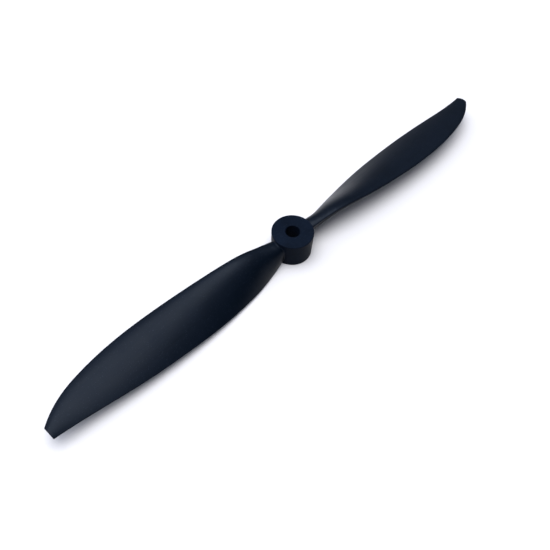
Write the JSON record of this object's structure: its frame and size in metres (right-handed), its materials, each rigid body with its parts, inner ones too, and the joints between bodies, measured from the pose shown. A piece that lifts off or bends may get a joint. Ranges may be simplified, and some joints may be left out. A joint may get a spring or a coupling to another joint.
{
  "type": "model aeroplane propeller",
  "caption": "Fixed-pitch tractor propeller for a radio-controlled model, with a plain shaft bore and twisted, cambered blades with square-cut tips.",
  "frame": {"origin": "centre of the shaft bore on the hub's rear face, the surface the propeller lies on", "axes": "+Z along the bore towards the hub's front face, +X along blade_1 towards its tip, blade_2 along -X"},
  "size_m": [0.254, 0.0272, 0.0134],
  "materials": {
    "moulding": "satin black glass-filled nylon, injection moulded"
  },
  "bodies": {
    "root": {"hub": "moulding", "blade_1": "moulding", "blade_2": "moulding"}
  },
  "joints": []
}
